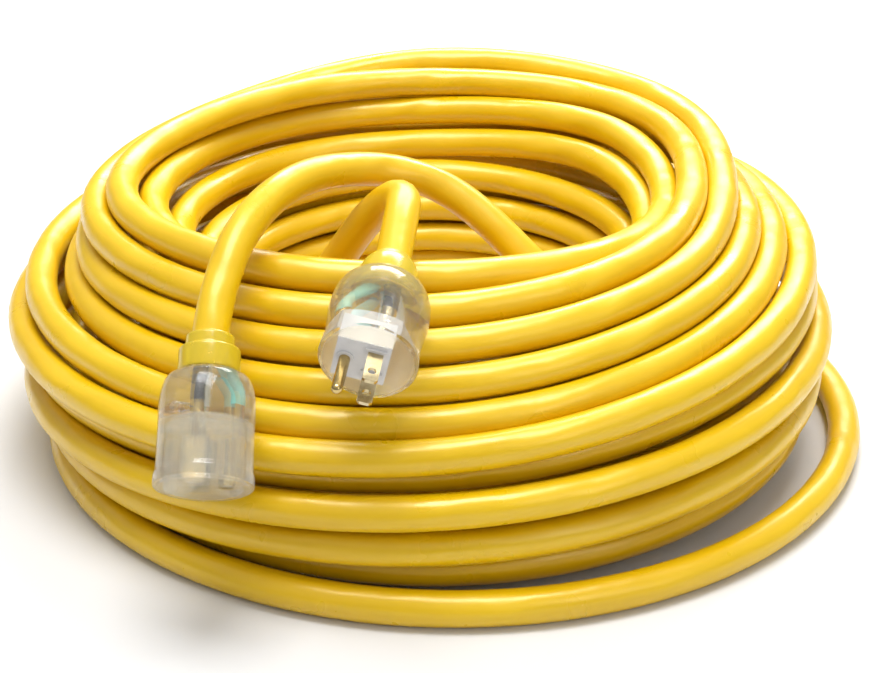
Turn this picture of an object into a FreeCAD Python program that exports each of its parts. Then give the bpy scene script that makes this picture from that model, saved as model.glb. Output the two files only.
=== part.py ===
"""Heavy three-conductor extension cord, wound in a loose coil, with a clear moulded plug and connector.

Frame: +Z up, the floor is z = 0 and the origin is on it at the middle of the coil. The two moulded ends
hang over the coil's -Y side. Lengths are millimetres. Each moulded end is modelled about its own axis,
with its mating face at z = 0 facing +Z and its ground contact towards +X, and is then placed on the coil.
"""
import FreeCAD, Part

import math
import os

import Sketcher
from FreeCAD import Matrix, Placement, Rotation, Vector

# ---------------------------------------------------------------- driving dimensions
SIZES = {
    "cord_od": 16.0,                 # outside diameter of the jacket
    # coil: oval sections from the floor up, each with its own half widths, place and lean;
    # a section between the floor and the crown lies at its own share of the crown's height
    "foot_wide": 190.0,
    "foot_deep": 199.0,
    "skirt_wide": 210.0,
    "skirt_deep": 209.0,
    "skirt_share": 0.2059,
    "belly_wide": 214.0,
    "belly_deep": 211.0,
    "belly_share": 0.4265,
    "shoulder_wide": 196.0,
    "shoulder_deep": 180.0,
    "shoulder_share": 0.7206,
    "crown_wide": 171.0,
    "crown_deep": 146.0,
    "crown_height": 136.0,
    "eye_wide": 136.0,               # the open middle, at the crown
    "eye_deep": 118.0,
    "throat_wide": 122.0,
    "throat_deep": 110.0,
    "throat_share": 0.8235,
    "waist_wide": 106.0,
    "waist_deep": 102.0,
    "waist_share": 0.6176,
    "drain_wide": 114.0,             # the open middle, at the floor
    "drain_deep": 112.0,
    # NEMA 5-15 contact layout, shared by plug and connector
    "blade_pitch": 12.7,
    "blade_wide": 6.35,
    "blade_thick": 1.5,
    "blade_reach": 17.5,
    "blade_hole_radius": 1.8,
    "blade_hole_height": 11.7,
    "earth_offset": 11.9,            # earth pin axis from the plane through the blades
    "earth_radius": 2.4,
    "earth_reach": 21.5,
    "earth_shank_radius": 2.0,       # the pin where it is held in the bridge
    "blade_chamfer": 1.2,
    "blade_shift": -2.5,             # plane through the blades from the axis of the moulding
    # plug moulding
    "plug_face_radius": 20.9,
    "plug_waist_radius": 20.1,
    "plug_waist_depth": 12.0,
    "plug_belly_radius": 21.5,
    "plug_belly_depth": 28.0,
    "plug_dome_radius": 18.6,
    "plug_dome_depth": 42.0,
    "plug_collar_radius": 12.9,
    "plug_collar_depth": 51.0,
    "plug_neck_radius": 10.6,
    "plug_length": 70.0,
    "plug_neck_slope": 4.0,
    "plug_edge_round": 1.2,
    "plug_jacket_depth": 41.0,       # where the jacket is stripped
    "bridge_depth": 14.0,
    "bridge_half_width": 10.5,
    "bridge_end_earth": 14.0,
    "bridge_end_blade": 8.5,
    "bridge_proud": 0.6,
    "boss_proud": 1.0,
    "boss_wall": 1.3,
    # connector moulding
    "conn_lip_radius": 21.0,
    "conn_lip_depth": 6.0,
    "conn_body_radius": 20.3,
    "conn_body_depth": 40.0,
    "conn_dome_radius": 17.4,
    "conn_dome_depth": 50.0,
    "conn_collar_radius": 13.2,
    "conn_collar_depth": 57.0,
    "conn_step_depth": 65.0,
    "conn_neck_radius": 10.4,
    "conn_length": 72.0,
    "conn_step": 1.0,
    "conn_edge_round": 1.2,
    "conn_jacket_depth": 55.5,
    "carrier_radius": 16.4,
    "carrier_depth": 25.0,
    "cap_depth": 3.0,
    "cap_set_in": 1.0,
    "slot_long_neutral": 8.4,
    "slot_long_line": 7.0,
    "slot_gap": 2.3,
    "earth_hole_radius": 2.9,
    # conductors and terminations
    "core_od": 4.8,
    "core_lay_radius": 3.35,         # conductor axis from the cord axis
    "strand_radius": 1.45,
    "barrel_radius": 2.3,
    "barrel_length": 7.0,
    "barrel_hold": 4.0,              # bare strands inside the barrel
    "contact_wall": 0.9,
    "contact_clear": 0.15,           # contact cavity to blade, each side
    "contact_depth": 17.0,
    "contact_recess": 2.5,           # mouth of the contact below the face
    "lamp_radius": 2.4,
    "lamp_length": 8.0,
    "resistor_radius": 1.3,
    "resistor_length": 6.0,
    "lead_radius": 0.35,
    "lamp_set_back": 7.5,            # lamp axis from the plane through the blades
    "lamp_behind_cap": 3.0,
    "lamp_start": 6.8,               # far end of the lamp from the axis
    "lamp_gap": 1.2,                 # lamp to resistor
    "lead_out": 2.4,                 # bare lead straight out of each end
    "lead_straight": 42.0,           # the cord leaves each end straight for this length
}

# Where each moulded end lies: the middle of its face, the way the face points, and its roll.
PLUG_FACE = Vector(-28.0, -197.0, 119.0)
PLUG_POINTS = Vector(-0.139, -0.947, -0.291)
PLUG_ROLL = 168.0
CONN_FACE = Vector(-95.7, -213.5, 69.0)
CONN_POINTS = Vector(0.0, -0.725, -0.689)
CONN_ROLL = 0.0

# Coil sections: place of the middle and degrees of lean towards -Y, by name, from the floor up.
OUTSIDE = [("foot", 4, 0, 0), ("skirt", -5, 0, 0), ("belly", -7, 0, 0), ("shoulder", -8, 4, 2),
           ("crown", -16, 12, 5)]
OPEN_MIDDLE = [("drain", -2, 0, 0), ("waist", -8, 4, 0), ("throat", -14, 6, 3), ("eye", -17, 10, 5)]
HEIGHTS = {"foot": "0", "drain": "0", "eye": "crown_height", "crown": "crown_height"}

# Routes of the stretches that are not in the coil, chosen by hand. Each starts on the axis of its end.
PLUG_ROUTE = [(-12, -92, 151), (-20, -66, 146), (-36, -58, 126), (-48, -72, 106), (-60, -90, 92),
              (-80, -103, 82)]
CONN_ROUTE = [(-91, -100, 149), (-68, -60, 149), (-36, -38, 147), (0, -46, 148), (24, -66, 136),
              (42, -80, 116), (62, -90, 98), (88, -93, 86)]
FLOOR_ROUTE = [(152, 98), (195, 56), (211, -33), (183, -122), (121, -185), (30, -217), (-64, -206),
               (-140, -157), (-186, -86), (-199, 0), (-188, 66), (-146, 104)]

doc = FreeCAD.newDocument("extension_cord")
sheet = doc.addObject("Spreadsheet::Sheet", "Sizes")
for row, (alias, value) in enumerate(SIZES.items(), 1):
    sheet.set(f"A{row}", alias)
    sheet.set(f"B{row}", str(value))
    sheet.setAlias(f"B{row}", alias)
doc.recompute()

NODES = {}


def size(alias):
    return float(sheet.get(alias))


def node(name, obj):
    """Keep an object as a sub-part: its label names its file."""
    obj.Label = name
    NODES[name] = obj
    return obj


def end_placement(face, points, roll):
    """Local +Z along `points`, then turned about it by `roll` degrees."""
    along = Vector(points).normalize()
    side = Vector(1, 0, 0)
    across = (side - along * side.dot(along)).normalize()
    third = along.cross(across)
    turn = Matrix(across.x, third.x, along.x, 0, across.y, third.y, along.y, 0,
                  across.z, third.z, along.z, 0, 0, 0, 0, 1)
    return Placement(face, Rotation(turn).multiply(Rotation(Vector(0, 0, 1), roll)))


PLUG = end_placement(PLUG_FACE, PLUG_POINTS, PLUG_ROLL)
CONN = end_placement(CONN_FACE, CONN_POINTS, CONN_ROLL)


# ---------------------------------------------------------------- builders
TRIM = 0.45          # an arc starts this share of the shorter run before its corner
STRAIGHT = 0.27      # share of a stripped conductor's run that is straight at each end


def bind(obj, **expressions):
    for prop, expression in expressions.items():
        obj.setExpression(prop, expression)


def revolved(name, outline, place=None):
    """A PartDesign body turned from an outline of (radius, height) expressions, in order."""
    body = doc.addObject("PartDesign::Body", name + "_body")
    sketch = body.newObject("Sketcher::SketchObject", name + "_outline")
    plane = [f for f in body.Origin.OriginFeatures if f.Role == "XZ_Plane"][0]
    sketch.AttachmentSupport = [(plane, "")]
    sketch.MapMode = "FlatFace"
    values = [(value_of(r), value_of(z)) for r, z in outline]
    count = len(values)
    for i in range(count):
        here, there = values[i], values[(i + 1) % count]
        sketch.addGeometry(Part.LineSegment(Vector(*here, 0), Vector(*there, 0)), False)
    for i in range(count):
        sketch.addConstraint(Sketcher.Constraint("Coincident", i, 2, (i + 1) % count, 1))
    for i, (r, z) in enumerate(outline):
        for kind, expression, value in (("DistanceX", r, values[i][0]), ("DistanceY", z, values[i][1])):
            if abs(value) < 1e-9:
                axis = -2 if kind == "DistanceX" else -1
                sketch.addConstraint(Sketcher.Constraint("PointOnObject", i, 1, axis))
            elif value > 0:
                at = sketch.addConstraint(Sketcher.Constraint(kind, -1, 1, i, 1, value))
                sketch.setExpression(f"Constraints[{at}]", bound(expression))
            else:
                at = sketch.addConstraint(Sketcher.Constraint(kind, i, 1, -1, 1, -value))
                sketch.setExpression(f"Constraints[{at}]", f"-({bound(expression)})")
    turn = body.newObject("PartDesign::Revolution", name + "_turn")
    turn.Profile = sketch
    turn.ReferenceAxis = (sketch, ["V_Axis"])
    turn.Angle = 360
    doc.recompute()
    if place:
        body.Placement = place
    return body


def bound(expression):
    """Name the sheet in front of each alias of an expression."""
    words = expression.split(" ")
    return " ".join("Sizes." + word if word in SIZES else word for word in words)


def value_of(expression):
    words = [str(size(word)) if word in SIZES else word for word in expression.split(" ")]
    total, sign = 0.0, 1.0
    product = None
    for word in words:
        if word in "+-":
            total += sign * (product or 0.0)
            product, sign = None, (1.0 if word == "+" else -1.0)
        elif word == "*":
            continue
        else:
            product = float(word) if product is None else product * float(word)
    return total + sign * product


def rounded(body, radius, chosen):
    """Fillet the edges of a body that `chosen` accepts."""
    tip = body.Tip
    edges = [f"Edge{i}" for i, edge in enumerate(tip.Shape.Edges, 1) if chosen(edge)]
    fillet = body.newObject("PartDesign::Fillet", body.Name + "_round")
    fillet.Base = (tip, edges)
    fillet.setExpression("Radius", bound(radius))
    doc.recompute()
    return body


def ring_edge(depth):
    """Chooses the full-circle edges at one height of a turned body."""
    def chosen(edge):
        box = edge.BoundBox
        return box.ZLength < 1e-6 and abs(box.ZMin - depth) < 1e-6
    return chosen


def block(name, place, corner, lengths):
    """A box in an end's own frame; corner and lengths are expressions."""
    box = doc.addObject("Part::Box", name)
    bind(box, Length=bound(lengths[0]), Width=bound(lengths[1]), Height=bound(lengths[2]))
    offset = Vector(*[value_of(c) for c in corner])
    box.Placement = place.multiply(Placement(offset, Rotation()))
    return box


def rod(name, place, centre, radius, height):
    """An upright cylinder in an end's own frame; the centre is its lower end."""
    cylinder = doc.addObject("Part::Cylinder", name)
    bind(cylinder, Radius=bound(radius), Height=bound(height))
    offset = Vector(*[value_of(c) for c in centre])
    cylinder.Placement = place.multiply(Placement(offset, Rotation()))
    return cylinder


def cut(name, base, *tools):
    result = doc.addObject("Part::Cut", name)
    result.Base = base
    result.Tool = joined(name + "_tools", *tools) if len(tools) > 1 else tools[0]
    return result


def joined(name, *pieces):
    result = doc.addObject("Part::MultiFuse", name)
    result.Shapes = list(pieces)
    return result


def tube(points, radius, label):
    """A round bar along straight runs joined by tangent arcs, each as large as its runs allow."""
    points = [Vector(*p) for p in points]
    edges, here, radii = [], points[0], []
    for before, corner, after in zip(points, points[1:], points[2:]):
        back, ahead = (before - corner), (after - corner)
        shorter = min(back.Length, ahead.Length)
        turn = math.pi - back.getAngle(ahead)
        trim = TRIM * shorter
        radii.append(trim / math.tan(turn / 2))
        start = corner + back.normalize() * trim
        end = corner + ahead.normalize() * trim
        bisector = ((start + end) * 0.5 - corner).normalize()
        middle = corner + bisector * (radii[-1] / math.cos(turn / 2) - radii[-1])
        edges.append(Part.LineSegment(here, start).toShape())
        edges.append(Part.Arc(start, middle, end).toShape())
        here = end
    edges.append(Part.LineSegment(here, points[-1]).toShape())
    path = Part.Wire(edges)
    first = (points[1] - points[0]).normalize()
    section = Part.Wire([Part.makeCircle(radius, points[0], first)])
    solid = path.makePipeShell([section], True, False)
    expected = math.pi * radius ** 2 * path.Length
    print(f"{label}: length {path.Length:.1f} mm, radii", " ".join(f"{r:.0f}" for r in radii),
          f"volume/expected {solid.Volume / expected:.4f}")
    return solid


def shaped(name, shape, place=None):
    """A Part::Feature for a shape that no primitive or sketch makes."""
    feature = doc.addObject("Part::Feature", name)
    feature.Shape = shape
    if place:
        feature.Placement = place
    return feature


# ---------------------------------------------------------------- the cord
def leaving(place, jacket):
    """The first two points of a lead, on the axis of its end."""
    depth = size(jacket)
    return [tuple(place.multVec(Vector(0, 0, -d))) for d in (depth, depth + size("lead_straight"))]


def make_cord():
    radius = size("cord_od") / 2
    route = leaving(CONN, "conn_jacket_depth") + CONN_ROUTE
    conn_lead = shaped("connector_lead", tube(route, radius, "connector_lead"))
    route = leaving(PLUG, "plug_jacket_depth") + PLUG_ROUTE
    plug_lead = shaped("plug_lead", tube(route, radius, "plug_lead"))
    floor = [(x, y, radius) for x, y in FLOOR_ROUTE]
    floor_turn = shaped("floor_turn", tube(floor, radius, "floor_turn"))
    node("connector_lead", conn_lead)
    node("plug_lead", plug_lead)
    node("floor_turn", floor_turn)

    outside = oval_loft("coil_outside", OUTSIDE)
    middle = oval_loft("coil_middle", OPEN_MIDDLE, 1.0)
    node("cord_coil", cut("cord_coil", outside, middle, conn_lead, plug_lead, floor_turn))


def oval_loft(name, sections, over=0.0):
    """A solid through level or leaning ovals; `over` carries both ends that much further out."""
    ovals = []
    for place, (level, x, y, lean) in enumerate(sections):
        oval = doc.addObject("Part::Ellipse", f"{level}_oval")
        wide, deep = size(level + "_wide"), size(level + "_deep")
        longer, other = ("_wide", "_deep") if wide >= deep else ("_deep", "_wide")
        bind(oval, MajorRadius=bound(level + longer), MinorRadius=bound(level + other))
        height = value_of(HEIGHTS.get(level, f"crown_height * {level}_share"))
        height += over * ((place == len(sections) - 1) - (place == 0))
        turn = Rotation(Vector(1, 0, 0), lean)
        if longer == "_deep":
            turn = turn.multiply(Rotation(Vector(0, 0, 1), 90))
        oval.Placement = Placement(Vector(x, y, height), turn)
        ovals.append(oval)
    loft = doc.addObject("Part::Loft", name)
    loft.Sections = ovals
    loft.Solid = True
    loft.Ruled = True
    return loft


# ---------------------------------------------------------------- conductors
def make_conductor(end, colour, place, jacket, finish, depth):
    """Insulated conductor from the stripped jacket to its barrel, and the bare strands that it ends in."""
    lay = size("core_lay_radius")
    x1, y1 = finish
    angle = math.radians(120) * ((y1 > 0) - (y1 < 0))
    x0, y0 = lay * math.cos(angle), lay * math.sin(angle)
    run = jacket - depth
    points = [(x0, y0, -jacket), (x0, y0, -jacket + STRAIGHT * run), (x1, y1, -depth - STRAIGHT * run),
              (x1, y1, -depth)]
    wire = tube(points, size("core_od") / 2, f"{end}_{colour}_conductor")
    node(f"{end}_{colour}_conductor", shaped(f"{end}_{colour}_conductor", wire, place))
    strands = rod(f"{end}_{colour}_strands", place, (str(x1), str(y1), str(-depth)),
                  "strand_radius", "barrel_hold")
    return node(f"{end}_{colour}_strands", strands)


# ---------------------------------------------------------------- plug
def contact_places(line_side):
    """Centres of the contacts in an end's own frame; the line contact is on side -1 or +1 of Y."""
    shift, half = size("blade_shift"), size("blade_pitch") / 2 * line_side
    return {"line": (shift, half), "neutral": (shift, -half), "earth": (shift + size("earth_offset"), 0.0)}


def make_barrel(name, place, at, top):
    """Crimp barrel behind a blade or contact: a solid head with a blind bore for the strands."""
    x, y = at
    low = f"{top} - barrel_length"
    outer = rod(name + "_outer", place, (str(x), str(y), low), "barrel_radius", "barrel_length")
    bore = rod(name + "_bore", place, (str(x), str(y), low), "strand_radius", "barrel_hold")
    return outer, bore


def make_plug():
    places = contact_places(-1)
    root = "0 - bridge_depth"
    pieces = []
    for name in ("line", "neutral"):
        x, y = places[name]
        half_wide = size("blade_wide") / 2
        half_thick = size("blade_thick") / 2
        blade = block(f"blade_{name}_flat", PLUG, (str(x - half_wide), str(y - half_thick), root),
                      ("blade_wide", "blade_thick", "blade_reach + bridge_depth"))
        hole = doc.addObject("Part::Cylinder", f"blade_{name}_hole")
        bind(hole, Radius="Sizes.blade_hole_radius", Height="4 * Sizes.blade_thick")
        across = Placement(Vector(x, y + 2 * size("blade_thick"), size("blade_hole_height")),
                           Rotation(Vector(1, 0, 0), 90))
        hole.Placement = PLUG.multiply(across)
        nib = tapered_tip(f"blade_{name}_tip", x, y)
        outer, bore = make_barrel(f"blade_{name}_barrel", PLUG, (x, y), root)
        whole = joined(f"blade_{name}_whole", cut(f"blade_{name}_trim", blade, hole, nib), outer)
        pieces.append(node(f"{name}_blade", cut(f"{name}_blade", whole, bore)))
    x, y = places["earth"]
    shank = rod("earth_shank", PLUG, (str(x), str(y), root), "earth_shank_radius",
                "bridge_depth + bridge_proud + boss_proud")
    bar = rod("earth_bar", PLUG, (str(x), str(y), "bridge_proud + boss_proud"), "earth_radius",
              "earth_reach - earth_radius - bridge_proud - boss_proud")
    nose = doc.addObject("Part::Sphere", "earth_nose")
    bind(nose, Radius="Sizes.earth_radius")
    nose.Placement = PLUG.multiply(Placement(Vector(x, y, value_of("earth_reach - earth_radius")),
                                             Rotation()))
    outer, bore = make_barrel("earth_pin_barrel", PLUG, (x, y), root)
    pin = cut("earth_pin", joined("earth_pin_whole", shank, bar, nose, outer), bore)
    pieces.append(node("earth_pin", pin))

    bridge = block("bridge_block", PLUG, ("0 - bridge_end_blade", "0 - bridge_half_width", root),
                   ("bridge_end_blade + bridge_end_earth", "2 * bridge_half_width",
                    "bridge_depth + bridge_proud"))
    bosses = [bridge]
    for name in ("line", "neutral"):
        x, y = places[name]
        wall = size("boss_wall")
        long_side = size("blade_wide") / 2 + wall
        short_side = size("blade_thick") / 2 + wall
        boss = block(f"boss_{name}", PLUG, (str(x - long_side), str(y - short_side), "0"),
                     ("blade_wide + 2 * boss_wall", "blade_thick + 2 * boss_wall",
                      "bridge_proud + boss_proud"))
        bosses.append(boss)
    x, y = places["earth"]
    bosses.append(rod("boss_earth", PLUG, (str(x), str(y), "0"), "earth_radius + boss_wall",
                      "bridge_proud + boss_proud"))
    plate = cut("plug_bridge", joined("bridge_whole", *bosses), *pieces)
    node("plug_bridge", plate)
    pieces.append(plate)

    depth = value_of("bridge_depth + barrel_length")
    for name, at in places.items():
        pieces.append(make_conductor("plug", name, PLUG, size("plug_jacket_depth"), at, depth))
        pieces.append(NODES[f"plug_{name}_conductor"])

    skin = revolved("plug_skin", [
        ("0", "0"), ("plug_face_radius", "0"),
        ("plug_waist_radius", "0 - plug_waist_depth"),
        ("plug_belly_radius", "0 - plug_belly_depth"),
        ("plug_dome_radius", "0 - plug_dome_depth"),
        ("plug_collar_radius", "0 - plug_collar_depth"),
        ("plug_collar_radius", "0 - plug_length + plug_neck_slope"),
        ("plug_neck_radius", "0 - plug_length"),
        ("0", "0 - plug_length")])
    rounded(skin, "plug_edge_round", ring_edge(0.0))
    skin.Placement = PLUG
    node("plug_body", cut("plug_body", skin, NODES["plug_lead"], *pieces))


def tapered_tip(name, x, y):
    """What is cut from a blade's tip to leave its two sloped shoulders."""
    reach = size("blade_reach")
    half = size("blade_wide") / 2
    thick = size("blade_thick")
    slope = size("blade_chamfer")
    shapes = []
    for side in (-1, 1):
        outline = [Vector(x + side * half, y - thick, reach),
                   Vector(x + side * (half - slope), y - thick, reach),
                   Vector(x + side * half, y - thick, reach - slope)]
        face = Part.Face(Part.makePolygon(outline + outline[:1]))
        shapes.append(face.extrude(Vector(0, 2 * thick, 0)))
    return shaped(name, Part.makeCompound(shapes), PLUG)


# ---------------------------------------------------------------- connector
def make_connector():
    places = contact_places(1)
    rear = "0 - carrier_depth - cap_depth"
    low = "0 - contact_recess - contact_depth"
    stem_length = "carrier_depth + cap_depth - contact_recess - contact_depth"
    pieces = []
    for name, (x, y) in places.items():
        if name == "earth":
            radius = "earth_radius + contact_clear"
            shell = rod("contact_earth_shell", CONN, (str(x), str(y), low),
                        radius + " + contact_wall", "contact_depth")
            gap = rod("contact_earth_gap", CONN, (str(x), str(y), low + " + contact_wall"),
                      radius, "contact_depth")
        else:
            wide = size("blade_wide") / 2 + size("contact_clear")
            thick = size("blade_thick") / 2 + size("contact_clear")
            wall = size("contact_wall")
            shell = block(f"contact_{name}_shell", CONN,
                          (str(x - wide - wall), str(y - thick - wall), low),
                          ("blade_wide + 2 * contact_clear + 2 * contact_wall",
                           "blade_thick + 2 * contact_clear + 2 * contact_wall", "contact_depth"))
            gap = block(f"contact_{name}_gap", CONN,
                        (str(x - wide), str(y - thick), low + " + contact_wall"),
                        ("blade_wide + 2 * contact_clear", "blade_thick + 2 * contact_clear",
                         "contact_depth"))
        stem = rod(f"contact_{name}_stem", CONN, (str(x), str(y), rear), "strand_radius", stem_length)
        outer, bore = make_barrel(f"contact_{name}_barrel", CONN, (x, y), rear)
        hollow = cut(f"contact_{name}_hollow", shell, gap)
        whole = joined(f"contact_{name}_whole", hollow, stem, outer)
        pieces.append(node(f"{name}_contact", cut(f"{name}_contact", whole, bore)))

    carrier = rod("carrier_block", CONN, ("0", "0", "0 - carrier_depth"), "carrier_radius",
                  "carrier_depth")
    cap = rod("cap_disc", CONN, ("0", "0", rear), "carrier_radius - cap_set_in", "cap_depth")
    mouths = []
    for name, (x, y) in places.items():
        if name == "earth":
            mouths.append(rod("mouth_earth", CONN, (str(x), str(y), low), "earth_hole_radius",
                              "contact_depth + contact_recess + 1"))
            continue
        long_side = f"slot_long_{name}"
        corner = (str(x - size(long_side) / 2), str(y - size("slot_gap") / 2), "0 - contact_recess")
        mouths.append(block(f"mouth_{name}", CONN, corner, (long_side, "slot_gap", "contact_recess + 1")))
        core = solid_contact(name, x, y)
        mouths.append(core)
    mouths.append(solid_contact("earth", *places["earth"]))
    insert = cut("contact_carrier", carrier, *mouths, *pieces)
    node("contact_carrier", insert)
    back = cut("carrier_cap", cap, *pieces)
    node("carrier_cap", back)
    pieces += [insert, back]
    pieces += make_lamp(places)

    depth = value_of("carrier_depth + cap_depth + barrel_length")
    for name, at in places.items():
        pieces.append(make_conductor("connector", name, CONN, size("conn_jacket_depth"), at, depth))
        pieces.append(NODES[f"connector_{name}_conductor"])

    skin = revolved("connector_skin", [
        ("0", "0"), ("conn_lip_radius", "0"),
        ("conn_lip_radius", "0 - conn_lip_depth"),
        ("conn_body_radius", "0 - conn_lip_depth - conn_step"),
        ("conn_body_radius", "0 - conn_body_depth"),
        ("conn_dome_radius", "0 - conn_dome_depth"),
        ("conn_collar_radius", "0 - conn_collar_depth"),
        ("conn_collar_radius", "0 - conn_step_depth"),
        ("conn_neck_radius", "0 - conn_step_depth - conn_step"),
        ("conn_neck_radius", "0 - conn_length"),
        ("0", "0 - conn_length")])
    rounded(skin, "conn_edge_round", ring_edge(0.0))
    skin.Placement = CONN
    node("connector_body", cut("connector_body", skin, NODES["connector_lead"], carrier, *pieces))


def solid_contact(name, x, y):
    """The room that a contact and the blade in it need inside the carrier."""
    low = "0 - contact_recess - contact_depth"
    if name == "earth":
        return rod(f"room_{name}", CONN, (str(x), str(y), low),
                   "earth_radius + contact_clear + contact_wall", "contact_depth")
    wide = size("blade_wide") / 2 + size("contact_clear") + size("contact_wall")
    thick = size("blade_thick") / 2 + size("contact_clear") + size("contact_wall")
    return block(f"room_{name}", CONN, (str(x - wide), str(y - thick), low),
                 ("blade_wide + 2 * contact_clear + 2 * contact_wall",
                  "blade_thick + 2 * contact_clear + 2 * contact_wall", "contact_depth"))


def make_lamp(places):
    """Neon lamp, its resistor and their leads, across the line and neutral barrels."""
    x = places["line"][0] - size("lamp_set_back")
    z = -value_of("carrier_depth + cap_depth + lamp_radius + lamp_behind_cap")
    lamp_low = -size("lamp_start")
    lamp_high = lamp_low + size("lamp_length")
    res_low = lamp_high + size("lamp_gap")
    res_high = res_low + size("resistor_length")
    pieces = []
    for name, low, kind in (("neon_lamp", lamp_low, "lamp"), ("lamp_resistor", res_low, "resistor")):
        piece = doc.addObject("Part::Cylinder", name + "_body")
        bind(piece, Radius=f"Sizes.{kind}_radius", Height=f"Sizes.{kind}_length")
        lying = Placement(Vector(x, low, z), Rotation(Vector(1, 0, 0), -90))
        piece.Placement = CONN.multiply(lying)
        pieces.append(node(name, piece))
    wire = size("lead_radius")
    out = size("lead_out")
    shapes = [tube([(x, lamp_high, z), (x, res_low, z)], wire, "lamp_leads, link")]
    for contact, end, way in (("neutral", lamp_low, -1), ("line", res_high, 1)):
        barrel_x, barrel_y = places[contact]
        into_wall = 0.5 * (size("strand_radius") + size("barrel_radius"))
        points = [(x, end, z), (x, end + way * out, z), (barrel_x - into_wall, barrel_y, z)]
        shapes.append(tube(points, wire, f"lamp_leads, {contact}"))
    wires = shaped("lamp_wires", Part.makeCompound(shapes), CONN)
    leads = cut("lamp_leads", wires, NODES["line_contact"], NODES["neutral_contact"], *pieces)
    pieces.append(node("lamp_leads", leads))
    return pieces


# ---------------------------------------------------------------- build, check and write
make_cord()
make_plug()
make_connector()
doc.recompute()

for obj in doc.Objects:
    if "Invalid" in obj.State or "Error" in obj.State:
        raise RuntimeError(f"{obj.Label} did not build: {obj.State}")
for name, obj in NODES.items():
    shape = obj.Shape
    if shape.isNull() or not shape.isValid() or not shape.Solids:
        raise RuntimeError(f"{name} has no valid solid")

os.makedirs("parts", exist_ok=True)
for name, obj in NODES.items():
    obj.Shape.exportStep(f"parts/{name}.step")
    print(name, len(obj.Shape.Solids), "solid(s)", round(obj.Shape.Volume / 1000, 2), "cm3")
for label, place, side in (("plug", PLUG, -1), ("connector", CONN, 1)):
    print(label, "face", [round(v, 3) for v in place.Base],
          "x axis", [round(v, 6) for v in place.Rotation.multVec(Vector(1, 0, 0))],
          "z axis", [round(v, 6) for v in place.Rotation.multVec(Vector(0, 0, 1))])
    for key, (x, y) in contact_places(side).items():
        print("  ", key, [round(v, 3) for v in place.multVec(Vector(x, y, 0))])
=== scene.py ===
import math

import bmesh
import bpy
import numpy as np
from mathutils import Matrix, Vector


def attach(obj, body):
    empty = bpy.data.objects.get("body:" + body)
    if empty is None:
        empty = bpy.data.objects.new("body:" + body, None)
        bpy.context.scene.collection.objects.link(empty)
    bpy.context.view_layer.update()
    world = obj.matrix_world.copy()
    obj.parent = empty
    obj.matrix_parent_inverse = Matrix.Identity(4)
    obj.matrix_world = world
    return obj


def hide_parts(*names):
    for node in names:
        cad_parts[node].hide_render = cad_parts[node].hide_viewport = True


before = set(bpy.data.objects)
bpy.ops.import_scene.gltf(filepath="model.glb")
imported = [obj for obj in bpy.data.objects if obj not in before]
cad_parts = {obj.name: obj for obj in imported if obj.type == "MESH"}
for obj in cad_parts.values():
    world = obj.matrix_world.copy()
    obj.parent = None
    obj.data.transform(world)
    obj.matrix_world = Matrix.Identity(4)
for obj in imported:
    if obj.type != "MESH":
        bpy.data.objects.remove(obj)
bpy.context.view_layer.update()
scene = bpy.context.scene
MM = 0.001

# ---------------------------------------------------------------- camera
CAMERA_AT = (0.0, -0.855, 0.440)
CAMERA_DOWN = 25.2         # degrees below level
SENSOR = 36.0
FOCAL, IMAGE_WIDTH = 1800.0, 873.0
camera = bpy.data.objects.new("camera", bpy.data.cameras.new("camera"))
scene.collection.objects.link(camera)
camera.location = CAMERA_AT
camera.rotation_euler = (math.radians(90.0 - CAMERA_DOWN), 0.0, 0.0)
camera.data.sensor_width = SENSOR
camera.data.lens = SENSOR * FOCAL / IMAGE_WIDTH
camera.data.clip_start = 0.05
scene.camera = camera
scene.view_settings.view_transform = "Standard"


# ---------------------------------------------------------------- where the two ends lie
def end_place(face, points, roll):
    """The CAD placement of a moulded end: its face's middle, the way it points, and its roll in degrees."""
    along = Vector(points).normalized()
    side = Vector((1, 0, 0))
    across = (side - along * side.dot(along)).normalized()
    third = along.cross(across)
    turn = Matrix((across, third, along)).transposed().to_4x4()
    return Matrix.Translation(Vector(face) * MM) @ turn @ Matrix.Rotation(math.radians(roll), 4, "Z")


PLUG = end_place((-28.0, -197.0, 119.0), (-0.139, -0.947, -0.291), 168.0)
CONN = end_place((-95.7, -213.5, 69.0), (0.0, -0.725, -0.689), 0.0)
# Millimetres behind each face: where the jacket is stripped, and where the moulding ends.
PLUG_JACKET, CONN_JACKET = 35.0, 48.0
PLUG_LENGTH, CONN_LENGTH = 70.0, 72.0
# What the turns keep clear of: each end from and to these depths, with this radius.
PLUG_KEEP = (2, 45, 21.0)
CONN_KEEP = (2, 52, 20.5)

# ---------------------------------------------------------------- the cord's route, in millimetres
D = 16.0               # the jacket's diameter
CORD_LENGTH = 30.48    # metres
STEPS = 24             # points to a turn
# The two leads, each from behind its moulding to the coil.
PLUG_ROUTE = [(-16, -112, 147), (-14, -92, 151), (-22, -75, 144), (-35, -68, 128), (-46, -66, 110),
              (-58, -60, 92), (-70, -50, 76), (-82, -36, 62), (-91, -18, 52)]
CONN_ROUTE = [(-93, -147, 131), (-87, -128, 145), (-76, -105, 154), (-60, -81, 157), (-38, -62, 154),
              (-13, -52, 148), (9, -56, 139), (28, -64, 125), (48, -76, 107), (76, -86, 90)]
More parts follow.
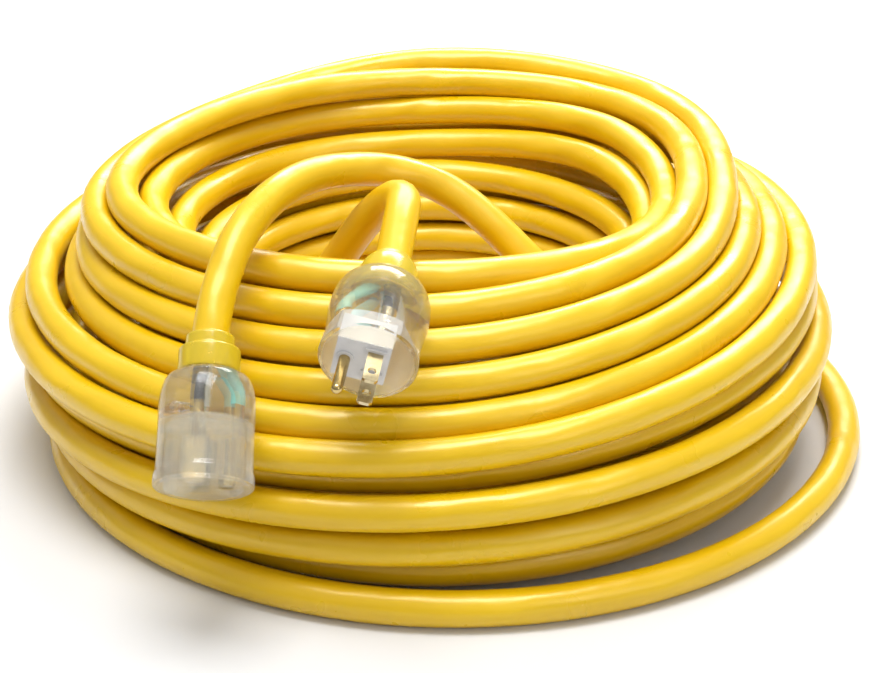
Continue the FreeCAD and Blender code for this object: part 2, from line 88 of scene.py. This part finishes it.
# One row a turn: distance from the middle and height as it passes the front, the right, the back, the left.
TURNS = [
    # down the second layer from where the connector's lead goes in
    ((118, 80), (132, 78), (122, 78), (132, 72)),
    ((124, 66), (126, 64), (122, 62), (130, 58)),
    ((124, 50), (122, 48), (122, 46), (128, 42)),
    ((126, 34), (122, 32), (124, 30), (130, 26)),
    ((128, 18), (126, 14), (128, 10), (134, 8)),
    # up the third layer
    ((146, 8), (142, 10), (144, 16), (150, 20)),
    ((146, 26), (142, 30), (144, 34), (150, 38)),
    ((146, 44), (142, 48), (144, 52), (150, 56)),
    ((144, 66), (144, 76), (148, 86), (152, 90)),
    # down the fourth
    ((152, 88), (152, 92), (164, 88), (168, 84)),
    ((168, 60), (164, 54), (168, 52), (174, 48)),
    ((184, 42), (178, 40), (184, 36), (188, 32)),
    ((182, 26), (172, 24), (176, 24), (174, 28)),
    ((166, 36), (160, 32), (162, 26), (166, 20)),
    ((164, 18), (162, 12), (162, 8), (190, 8)),
    # the turn that lies out on the floor
    ((213, 8), (209, 8), (166, 8), (180, 10)),
    # up the outside
    ((191, 16), (180, 18), (180, 16), (192, 20)),
    ((203, 32), (190, 38), (192, 32), (200, 36)),
    ((205, 53), (196, 61), (204, 48), (207, 46)),
    ((186, 56), (188, 78), (206, 68), (211, 62)),
    ((194, 70), (182, 97), (192, 88), (204, 84)),
    ((183, 83), (168, 106), (184, 103), (180, 86)),
    ((170, 94), (158, 113), (170, 116), (175, 101)),
    ((155, 104), (145, 120), (150, 139), (173, 114)),
    ((138, 112), (128, 125), (137, 133), (160, 125)),
    # over the top and down the inside
    ((122, 121), (116, 112), (131, 118), (146, 112)),
    ((106, 106), (108, 100), (122, 102), (132, 98)),
    ((104, 88), (104, 84), (114, 86), (120, 82)),
    ((104, 72), (102, 68), (108, 70), (114, 64)),
    ((106, 54), (100, 50), (106, 50), (112, 46)),
    ((108, 36), (102, 34), (106, 34), (114, 30)),
    ((110, 20), (106, 22), (106, 30), (96, 44)),
]
# Where a turn bulges or dips between two sides: by row, and the side before it.
BETWEEN = {
    (14, 3): (203, 8),
    (20, 1): (187, 98), (20, 2): (204, 88),
    (21, 1): (178, 105), (21, 2): (186, 98),
    (22, 1): (166, 114), (22, 2): (170, 112),
    (23, 1): (168, 130), (23, 2): (152, 127),
    (24, 1): (148, 129), (24, 2): (138, 134),
    (25, 1): (130, 120),
    (26, 1): (119, 107),
}
FIRST, LAST = 0.62, 4 * len(TURNS) - 1     # the quarter turns used, counted from the first row's front

# How the turns are pushed apart.
ROUNDS = 260
LOOK_AGAIN = 8         # rounds after which the near pairs are found again
REACH = 80.0           # segments whose middles are nearer than this are a near pair
SKIP = 3               # segments this close along the cord are never a pair
OVERSHOOT = 1.2        # each push is this much larger than it has to be
PULL_BACK = 0.995      # the share of its drift that a point keeps in each round
LOOSE_FROM = 0.8       # from this share of the rounds on, it keeps all of it


def smooth_row(rows, t):
    """The smooth line through evenly spaced rows of numbers, at row t."""
    i = int(math.floor(t))
    f = t - i
    a, b, c, d = (rows[min(max(i + k, 0), len(rows) - 1)] for k in (-1, 0, 1, 2))
    return b + 0.5 * f * (c - a + f * (2 * a - 5 * b + 4 * c - d + f * (3 * (b - c) + d - a)))


def coil_points():
    """Points along all the turns, as TURNS and BETWEEN lay them."""
    rows = np.array([side for turn in TURNS for side in turn], float)
    sides = []
    for k, row in enumerate(rows):
        sides += [row, np.array(BETWEEN.get(divmod(k, 4), smooth_row(rows, k + 0.5)), float)]
    count = int(round((LAST - FIRST) * STEPS / 4))
    out = []
    for n in range(count + 1):
        t = FIRST + (LAST - FIRST) * n / count
        r, z = smooth_row(sides, 2 * t)
        angle = math.radians(270 + 90 * t)
        out.append((r * math.cos(angle), r * math.sin(angle), z))
    return out


def leaving(place, jacket, length):
    """Points on the axis of an end, from where the jacket is stripped to the back of the moulding."""
    return [tuple(place @ Vector((0, 0, -d * MM)) / MM) for d in (jacket, 0.5 * (jacket + length), length)]


def nearest(p1, q1, p2, q2):
    """Fractions along two sets of segments where they come nearest to each other."""
    d1, d2, r = q1 - p1, q2 - p2, p1 - p2
    a, e = (d1 * d1).sum(1), (d2 * d2).sum(1)
    f, c, b = (d2 * r).sum(1), (d1 * r).sum(1), (d1 * d2).sum(1)
    den = a * e - b * b
    apart = den > 1e-9
    s = np.where(apart, np.clip((b * f - c * e) / np.where(apart, den, 1), 0, 1), 0.5)
    t = np.clip((b * s + f) / e, 0, 1)
    return np.clip((b * t - c) / a, 0, 1), t


def settle(points, free, bodies):
    """Push apart the turns that run into each other or into a body, each staying near where it was laid."""
    start = np.array(points, float)
    p = start.copy()
    for k in range(ROUNDS):
        if k % LOOK_AGAIN == 0:
            mid = 0.5 * (p[1:] + p[:-1])
            close = ((mid[:, None, :] - mid[None, :, :]) ** 2).sum(2) < REACH ** 2
            i, j = np.nonzero(np.triu(close, SKIP))
        s, t = nearest(p[i], p[i + 1], p[j], p[j + 1])
        apart = p[i] + (p[i + 1] - p[i]) * s[:, None] - p[j] - (p[j + 1] - p[j]) * t[:, None]
        dist = np.linalg.norm(apart, axis=1)
        hit = dist < D
        i_hit, j_hit, s_hit, t_hit = i[hit], j[hit], s[hit], t[hit]
        push = apart[hit] / np.maximum(dist[hit], 1e-6)[:, None] * (0.5 * (D - dist[hit]))[:, None]
        move, weight = np.zeros_like(p), np.zeros(len(p))
        for at, share, sign in ((i_hit, 1 - s_hit, 1), (i_hit + 1, s_hit, 1),
                                (j_hit, 1 - t_hit, -1), (j_hit + 1, t_hit, -1)):
            np.add.at(move, at, sign * push * share[:, None])
            np.add.at(weight, at, share)
        p += OVERSHOOT * free[:, None] * move / np.maximum(weight, 1.0)[:, None]
        for base, tip, radius in bodies:
            axis = tip - base
            along = np.clip(((p - base) @ axis) / (axis @ axis), 0, 1)
            off = p - (base + along[:, None] * axis)
            far = np.linalg.norm(off, axis=1)
            out = np.maximum(radius + D / 2 - far, 0)
            p += off / np.maximum(far, 1e-6)[:, None] * (out * free)[:, None]
        drift = p - start
        even = drift.copy()
        even[1:-1] = 0.5 * drift[1:-1] + 0.25 * (drift[2:] + drift[:-2])
        p = start + even * free[:, None] * (PULL_BACK if k < LOOSE_FROM * ROUNDS else 1.0)
        p[:, 2] = np.maximum(p[:, 2], D / 2)
    return p


def cord_points():
    """The whole cord's points, from the connector to the plug, in metres."""
    lead_in = leaving(CONN, CONN_JACKET, CONN_LENGTH) + CONN_ROUTE
    lead_out = (leaving(PLUG, PLUG_JACKET, PLUG_LENGTH) + PLUG_ROUTE)[::-1]
    points = np.array(lead_in + coil_points() + lead_out, float)
    free = np.ones(len(points))
    free[:len(lead_in) - 1] = 0
    free[-(len(lead_out) - 1):] = 0
    bodies = []
    for place, (near, far, radius) in ((CONN, CONN_KEEP), (PLUG, PLUG_KEEP)):
        ends = [np.array(place @ Vector((0, 0, -d * MM))) / MM for d in (near, far)]
        bodies.append((ends[0], ends[1], radius))
    return settle(points, free, bodies) * MM


def spline_curve(name, points, radius):
    """A round tube on one smooth curve."""
    curve = bpy.data.curves.new(name, "CURVE")
    curve.dimensions = "3D"
    spline = curve.splines.new("NURBS")
    spline.points.add(len(points) - 1)
    for point, place in zip(spline.points, points):
        point.co = (*place, 1.0)
    spline.order_u = 3
    spline.use_endpoint_u = True
    spline.resolution_u = 5
    curve.bevel_depth = radius
    curve.bevel_resolution = 5
    curve.use_fill_caps = True
    piece = bpy.data.objects.new(name, curve)
    scene.collection.objects.link(piece)
    return piece


cord = spline_curve("cord", cord_points(), D / 2 * MM)


# ---------------------------------------------------------------- materials
class Nodes:
    """Short ways to add shader nodes to one material."""

    def __init__(self, name):
        self.material = bpy.data.materials.new(name)
        self.material.use_nodes = True
        self.tree = self.material.node_tree
        self.tree.nodes.clear()
        self.shader = self.add("ShaderNodeBsdfPrincipled")
        out = self.add("ShaderNodeOutputMaterial")
        self.link(self.shader.outputs[0], out.inputs["Surface"])

    def add(self, kind, **settings):
        made = self.tree.nodes.new(kind)
        for key, value in settings.items():
            setattr(made, key, value)
        return made

    def link(self, source, target):
        self.tree.links.new(source, target)

    def set(self, **values):
        for key, value in values.items():
            self.shader.inputs[key.replace("_", " ")].default_value = value

    def place(self, scale=(1, 1, 1)):
        where = self.add("ShaderNodeTexCoord")
        mapping = self.add("ShaderNodeMapping")
        mapping.inputs["Scale"].default_value = scale
        self.link(where.outputs["Object"], mapping.inputs["Vector"])
        return mapping.outputs["Vector"]

    def noise(self, vector, scale, detail=3.0, rough=0.5):
        made = self.add("ShaderNodeTexNoise")
        made.inputs["Scale"].default_value = scale
        made.inputs["Detail"].default_value = detail
        made.inputs["Roughness"].default_value = rough
        self.link(vector, made.inputs["Vector"])
        return made.outputs["Fac"]

    def ramp(self, source, stops):
        made = self.add("ShaderNodeValToRGB")
        elements = made.color_ramp.elements
        while len(elements) < len(stops):
            elements.new(0.5)
        for element, (at, colour) in zip(elements, stops):
            element.position = at
            element.color = (*colour, 1.0)
        self.link(source, made.inputs["Fac"])
        return made.outputs["Color"]

    def spread(self, source, low, high):
        """A noise's usual range, 0.3 to 0.7, spread from low to high."""
        made = self.add("ShaderNodeMapRange")
        made.inputs["From Min"].default_value = 0.3
        made.inputs["From Max"].default_value = 0.7
        made.inputs["To Min"].default_value = low
        made.inputs["To Max"].default_value = high
        self.link(source, made.inputs["Value"])
        return made.outputs["Result"]

    def maths(self, operation, a, b=None):
        """A Math node on one or two sockets or numbers."""
        made = self.add("ShaderNodeMath", operation=operation)
        for socket, value in zip(made.inputs, (a, b)):
            if value is None:
                continue
            if isinstance(value, (int, float)):
                socket.default_value = value
            else:
                self.link(value, socket)
        return made.outputs[0]

    def bump(self, height, distance, under=None):
        made = self.add("ShaderNodeBump")
        made.inputs["Strength"].default_value = 1.0
        made.inputs["Distance"].default_value = distance
        self.link(height, made.inputs["Height"])
        if under is not None:
            self.link(under, made.inputs["Normal"])
        return made.outputs["Normal"]

    def into(self, name, source):
        self.link(source, self.shader.inputs[name])


def jacket_material():
    """Glossy flexible PVC over three twisted conductors, which show as a faint slow ripple."""
    crest_gap, crests = 0.062, 2       # metres from crest to crest along the cord, and crests round it
    m = Nodes("yellow_pvc")
    where = m.place()
    broad = m.noise(where, scale=9.0, detail=2.0)
    fine = m.noise(where, scale=240.0, detail=4.0)
    m.into("Base Color", m.ramp(broad, [(0.30, (0.70, 0.430, 0.001)), (0.50, (0.74, 0.465, 0.001)),
                                        (0.72, (0.78, 0.500, 0.002))]))
    m.into("Roughness", m.spread(m.noise(where, scale=42.0), low=0.24, high=0.46))
    along = m.add("ShaderNodeTexCoord").outputs["UV"]
    split = m.add("ShaderNodeSeparateXYZ")
    m.link(along, split.inputs[0])
    lay = m.maths("MULTIPLY", split.outputs["X"], 2 * math.pi * CORD_LENGTH / crest_gap)
    around = m.maths("MULTIPLY", split.outputs["Y"], 2 * math.pi * crests)
    ripple = m.maths("SINE", m.maths("ADD", m.maths("ADD", lay, around),
                                     m.maths("MULTIPLY", m.noise(where, scale=22.0, detail=1.0), 9.0)))
    slow = m.bump(ripple, distance=0.00022)
    lumps = m.bump(m.noise(where, scale=34.0, detail=2.0), distance=0.0016, under=slow)
    m.into("Normal", m.bump(fine, distance=0.00006, under=lumps))
    m.set(IOR=1.52, Coat_Weight=0.15, Coat_Roughness=0.22,
          Specular_IOR_Level=0.90, Specular_Tint=(1.0, 0.92, 0.55, 1.0),
          Subsurface_Weight=0.08, Subsurface_Radius=(0.006, 0.004, 0.001), Subsurface_Scale=0.5)
    return m.material


def clear_material(name, tint, rough=(0.05, 0.16), cloud=0.0, alpha=1.0):
    """Clear moulded PVC: faint flow waves and fine surface grain. The cloud is the share that isn't clear."""
    paler = 1.04
    light = tuple(min(1.0, c * paler) for c in tint)
    m = Nodes(name)
    where = m.place()
    m.into("Base Color", m.ramp(m.noise(where, scale=45.0, detail=2.0), [(0.3, tint), (0.7, light)]))
    m.into("Roughness", m.spread(m.noise(where, scale=160.0), *rough))
    waves = m.bump(m.noise(where, scale=70.0, detail=1.0), distance=0.0005)
    m.into("Normal", m.bump(m.noise(where, scale=900.0, detail=2.0), distance=0.00003, under=waves))
    m.set(Transmission_Weight=1.0 - cloud, Alpha=alpha, IOR=1.42, Specular_IOR_Level=0.6,
          Coat_Weight=0.3, Coat_Roughness=0.08)
    return m.material


def plastic_material(name, dark, light, rough):
    """Solid coloured plastic with a fine grain."""
    m = Nodes(name)
    where = m.place()
    m.into("Base Color", m.ramp(m.noise(where, scale=60.0), [(0.3, dark), (0.7, light)]))
    m.into("Roughness", m.spread(m.noise(where, scale=150.0), *rough))
    m.into("Normal", m.bump(m.noise(where, scale=260.0), distance=0.00005))
    return m.material


def metal_material(name, dark, light, rough):
    """Drawn or stamped metal: fine level lines and a little tarnish."""
    m = Nodes(name)
    where = m.place()
    lines = m.noise(m.place(scale=(1, 1, 12)), scale=300.0, detail=4.0)
    tarnish = m.noise(where, scale=130.0, detail=4.0, rough=0.6)
    m.into("Base Color", m.ramp(tarnish, [(0.32, dark), (0.62, light)]))
    m.into("Roughness", m.spread(lines, *rough))
    m.into("Normal", m.bump(lines, distance=0.000008))
    m.set(Metallic=1.0)
    return m.material


YELLOW = jacket_material()
CLEAR = clear_material("clear_pvc", (0.985, 0.965, 0.89), (0.08, 0.16), cloud=0.09, alpha=0.70)
FROSTED = clear_material("frosted_pvc", (0.96, 0.87, 0.66), (0.38, 0.50), cloud=0.20, alpha=0.85)
COLLAR = clear_material("yellowed_pvc", (0.86, 0.66, 0.03), (0.16, 0.28), cloud=0.55)
INSERT = clear_material("clear_insert", (1.0, 0.965, 0.86), (0.05, 0.18), cloud=0.36, alpha=0.55)
WHITE = plastic_material("white_insert", (0.60, 0.59, 0.585), (0.72, 0.71, 0.70), (0.30, 0.48))
BRASS = metal_material("brass", (0.36, 0.25, 0.085), (0.62, 0.47, 0.20), (0.14, 0.28))
PLATED = metal_material("plated_brass", (0.46, 0.37, 0.19), (0.74, 0.63, 0.40), (0.12, 0.26))
COPPER = metal_material("bare_copper", (0.55, 0.22, 0.09), (0.85, 0.42, 0.22), (0.18, 0.35))
TINNED = metal_material("tinned_wire", (0.50, 0.50, 0.50), (0.78, 0.77, 0.75), (0.15, 0.35))
BLACK = plastic_material("black_insulation", (0.022, 0.022, 0.025), (0.05, 0.05, 0.055), (0.22, 0.40))
IVORY = plastic_material("white_insulation", (0.62, 0.62, 0.58), (0.78, 0.78, 0.74), (0.22, 0.36))
GREEN = plastic_material("green_insulation", (0.17, 0.52, 0.45), (0.27, 0.64, 0.57), (0.20, 0.34))
LAMP = clear_material("lamp_glass", (1.0, 0.80, 0.60))
BAND = plastic_material("resistor_body", (0.40, 0.27, 0.14), (0.55, 0.40, 0.24), (0.35, 0.55))


def dress(piece, material):
    piece.data.materials.clear()
    piece.data.materials.append(material)


dress(cord, YELLOW)


# ---------------------------------------------------------------- the moulded ends
SIDES = 96             # faces round a turned solid
FACE_DEPTH = 0.3       # millimetres: faces no deeper than this belong to the front
SHARP = 14             # degrees: edges that turn by more than this are rounded


def turned(name, outline, place, material, front=None, corner=0.8):
    """
    A solid turned from (radius, depth behind the face) rows in millimetres, its corners rounded.
    The front is a second material, for its face alone.
    """
    mesh = bpy.data.meshes.new(name)
    work = bmesh.new()
    rings = []
    for radius, depth in outline:
        if radius == 0:
            rings.append([work.verts.new((0, 0, -depth * MM))])
            continue
        rings.append([work.verts.new((radius * MM * math.cos(2 * math.pi * k / SIDES),
                                      radius * MM * math.sin(2 * math.pi * k / SIDES), -depth * MM))
                      for k in range(SIDES)])
    for a, b in zip(rings, rings[1:]):
        for k in range(SIDES):
            n = (k + 1) % SIDES
            face = [a[k % len(a)], a[n % len(a)], b[n % len(b)], b[k % len(b)]]
            work.faces.new(list(dict.fromkeys(face)))
    bmesh.ops.recalc_face_normals(work, faces=work.faces)
    work.to_mesh(mesh)
    work.free()
    piece = bpy.data.objects.new(name, mesh)
    scene.collection.objects.link(piece)
    dress(piece, material)
    if front is not None:
        mesh.materials.append(front)
    for polygon in mesh.polygons:
        polygon.use_smooth = True
        if front is not None and polygon.center.z > -FACE_DEPTH * MM:
            polygon.material_index = 1
    mesh.transform(place)
    bevel = piece.modifiers.new("corners", "BEVEL")
    bevel.width = corner * MM
    bevel.segments = 3
    bevel.limit_method = "ANGLE"
    bevel.angle_limit = math.radians(SHARP)
    return piece


def dome(r0, d0, r1, d1):
    """Rows of an outline that curves in from radius r0 at depth d0 to radius r1 at depth d1."""
    count, power = 8, 2.2
    rows = []
    for k in range(1, count + 1):
        t = k / count
        rows.append((r1 + (r0 - r1) * (1 - t ** power) ** (1 / power), d0 + (d1 - d0) * t))
    return rows


BORE = 8.06            # radius of a collar's bore, just clear of the jacket

plug_outline = [(0, 0), (18.2, 0), (19.0, 0.5), (20.9, 0.5), (20.6, 5),
                (20.1, 12), (20.7, 19), (21.4, 26), (21.3, 30)]
plug_outline += dome(21.3, 30, 13.8, 43.5)
plug_outline += [(13.1, 43.9), (0, 43.9)]
plug_shell = turned("plug_shell", plug_outline, PLUG, CLEAR, FROSTED)

conn_outline = [(0, 0), (18.6, 0), (19.4, 0.6), (21.0, 0.6), (21.0, 5.0),
                (20.3, 6.6), (20.1, 24), (20.3, 33.5)]
conn_outline += dome(20.3, 33.5, 14.0, 49.5)
conn_outline += [(13.2, 50.1), (0, 50.1)]
conn_shell = turned("connector_shell", conn_outline, CONN, CLEAR)

collar_outline = [(BORE, 36.5), (10.8, 36.5), (11.8, 37.5), (12.9, 43), (13.1, 45.5), (13.0, 54),
                  (12.2, 57.5), (10.8, 58.4), (10.4, 61), (BORE, 61), (BORE, 36.5)]
plug_collar = turned("plug_collar", collar_outline, PLUG, COLLAR, corner=0.5)

collar_outline = [(BORE, 50.3), (13.0, 50.3), (13.2, 52), (13.2, 60.0), (12.6, 60.9), (10.6, 61.1),
                  (10.4, 61.9), (10.4, 66), (9.8, 67), (BORE, 67), (BORE, 50.3)]
conn_collar = turned("connector_collar", collar_outline, CONN, COLLAR, corner=0.5)

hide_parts("plug_body")
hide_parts("connector_body")

LOOKS = {
    "line_blade": PLATED, "neutral_blade": PLATED, "earth_pin": BRASS, "plug_bridge": WHITE,
    "line_contact": BRASS, "neutral_contact": PLATED, "earth_contact": BRASS,
    "contact_carrier": INSERT, "carrier_cap": INSERT,
    "neon_lamp": LAMP, "lamp_resistor": BAND, "lamp_leads": TINNED,
    "plug_line_conductor": BLACK, "connector_line_conductor": BLACK,
    "plug_neutral_conductor": IVORY, "connector_neutral_conductor": IVORY,
    "plug_earth_conductor": GREEN, "connector_earth_conductor": GREEN,
}
for name, material in LOOKS.items():
    dress(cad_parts[name], material)
for end in ("plug", "connector"):
    for core in ("line", "neutral", "earth"):
        dress(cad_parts[f"{end}_{core}_strands"], COPPER)

SLOTS = ((cord, "yellow_jacket"), (plug_shell, "clear_moulding"), (conn_shell, "clear_moulding"),
         (plug_collar, "clear_moulding"), (conn_collar, "clear_moulding"))
for piece, name in SLOTS:
    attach(piece, "root")
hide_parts("cord_coil", "floor_turn", "connector_lead", "plug_lead")
plug_nodes = ["line_blade", "neutral_blade", "earth_pin", "plug_bridge"]
for core in ("line", "neutral", "earth"):
    plug_nodes += [f"plug_{core}_conductor", f"plug_{core}_strands"]

# ---------------------------------------------------------------- floor and light
FLOOR = 6.0            # metres from the middle to each side
floor = bpy.data.objects.new("floor", bpy.data.meshes.new("floor"))
corners = [(-FLOOR, -FLOOR, 0), (FLOOR, -FLOOR, 0), (FLOOR, FLOOR, 0), (-FLOOR, FLOOR, 0)]
floor.data.from_pydata(corners, [], [(0, 1, 2, 3)])
scene.collection.objects.link(floor)
paper = Nodes("white_paper")
shade = paper.noise(paper.place(), scale=3.0)
paper.into("Base Color", paper.ramp(shade, [(0.3, (0.70, 0.70, 0.70)), (0.7, (0.73, 0.73, 0.73))]))
paper.set(Roughness=0.85, Specular_IOR_Level=0.1)
dress(floor, paper.material)

# The world's light is weak from the sides and strong from above, so that the lower turns stay darker.
world = bpy.data.worlds.new("studio")
scene.world = world
world.use_nodes = True
world.node_tree.nodes["Background"].inputs["Color"].default_value = (1.0, 1.0, 1.0, 1.0)
sky = world.node_tree.nodes
direction = sky.new("ShaderNodeTexCoord")
height = sky.new("ShaderNodeSeparateXYZ")
strength = sky.new("ShaderNodeMapRange")
for socket, value in (("From Max", 0.7), ("To Min", 0.15), ("To Max", 0.68)):
    strength.inputs[socket].default_value = value
world.node_tree.links.new(direction.outputs["Generated"], height.inputs[0])
world.node_tree.links.new(height.outputs["Z"], strength.inputs["Value"])
world.node_tree.links.new(strength.outputs["Result"], sky["Background"].inputs["Strength"])


def soft_light(name, place, target, width, height, power):
    """A rectangular lamp that faces its target. Metres and watts."""
    light = bpy.data.lights.new(name, "AREA")
    light.shape = "RECTANGLE"
    light.size, light.size_y, light.energy = width, height, power
    lamp = bpy.data.objects.new(name, light)
    lamp.location = place
    lamp.rotation_euler = (Vector(target) - Vector(place)).to_track_quat("-Z", "Y").to_euler()
    scene.collection.objects.link(lamp)


soft_light("key", (-0.05, -0.15, 1.45), (0, 0, 0.06), 0.9, 0.6, 19.5)
soft_light("fill", (0.9, -1.2, 0.8), (0, 0, 0.06), 0.7, 0.7, 3.0)
soft_light("back", (0.25, 1.1, 1.1), (0, 0, 0.08), 1.2, 0.5, 25.0)
